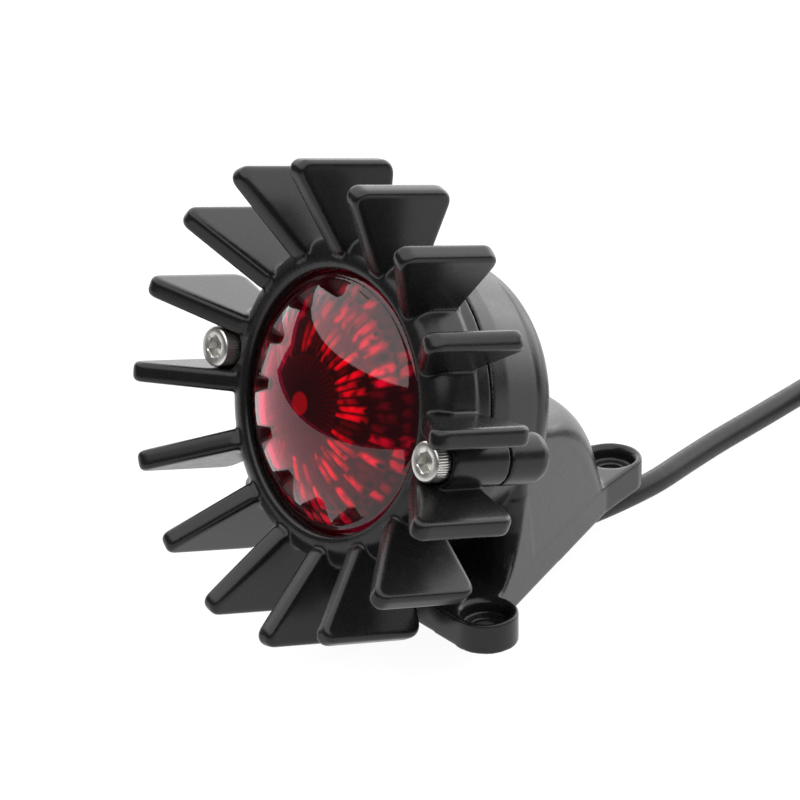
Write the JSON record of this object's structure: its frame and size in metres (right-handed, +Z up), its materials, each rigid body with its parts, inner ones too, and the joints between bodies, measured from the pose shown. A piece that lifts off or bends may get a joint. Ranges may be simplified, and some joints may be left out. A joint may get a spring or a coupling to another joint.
{
  "type": "motorcycle tail light",
  "caption": "Round red tail light in a black finned casting, tilted up on a triangular foot with bolt ears, with a round lead leaving underneath.",
  "frame": {"origin": "centre of the foot's flat mounting face, between its three bolt holes and 43.8 mm in front of the rear one", "axes": "+Z up off the mounting face, -Y towards the side the lens looks to, +X to the right of somebody behind the lens looking rearwards"},
  "size_m": [0.0986, 0.2389, 0.1021],
  "materials": {
    "satin_black_casting": "satin black powder coat on an aluminium casting",
    "red_lens": "transparent red, polished",
    "prism_optic": "transparent red, prismatic",
    "metallised_reflector": "bright metallised plastic",
    "board_white": "white solder mask on glass-fibre board",
    "led_package": "clear cap over phosphor",
    "black_component": "matt moulded package",
    "plated_steel": "zinc plated",
    "stainless_steel": "stainless, bright",
    "black_rubber": "matt",
    "lead_jacket": "matt flexible jacket",
    "nylon_tie": "moulded nylon",
    "core_red": "insulated wire",
    "core_brown": "insulated wire",
    "core_black": "insulated wire",
    "tinned_brass": "tinned brass"
  },
  "bodies": {
    "root": {"board_screw_1": "plated_steel", "board_screw_2": "plated_steel", "board_screw_3": "plated_steel", "board_wire_black": "core_black", "board_wire_brown": "core_brown", "board_wire_red": "core_red", "bullet_black": "tinned_brass", "bullet_brown": "tinned_brass", "bullet_red": "tinned_brass", "cap_screw_left": "stainless_steel", "cap_screw_right": "stainless_steel", "clamp_ring": "black_rubber", "coil_tie": "nylon_tie", "core_black": "core_black", "core_brown": "core_brown", "core_red": "core_red", "diode": "black_component", "driver_chip": "black_component", "end_sleeve": "black_rubber", "finned_bezel": "satin_black_casting", "housing_seal": "black_rubber", "inner_optic": "prism_optic", "lead": "lead_jacket", "lead_clip": "nylon_tie", "lead_coil": "lead_jacket", "lead_grommet": "black_rubber", "lead_tail": "lead_jacket", "led_1": "led_package", "led_2": "led_package", "led_3": "led_package", "led_4": "led_package", "led_5": "led_package", "led_6": "led_package", "led_board": "board_white", "led_centre": "led_package", "lens": "red_lens", "lens_gasket": "black_rubber", "rear_housing": "satin_black_casting", "reflector": "metallised_reflector", "resistor_1": "black_component", "resistor_2": "black_component", "resistor_3": "black_component", "resistor_4": "black_component"}
  },
  "joints": []
}
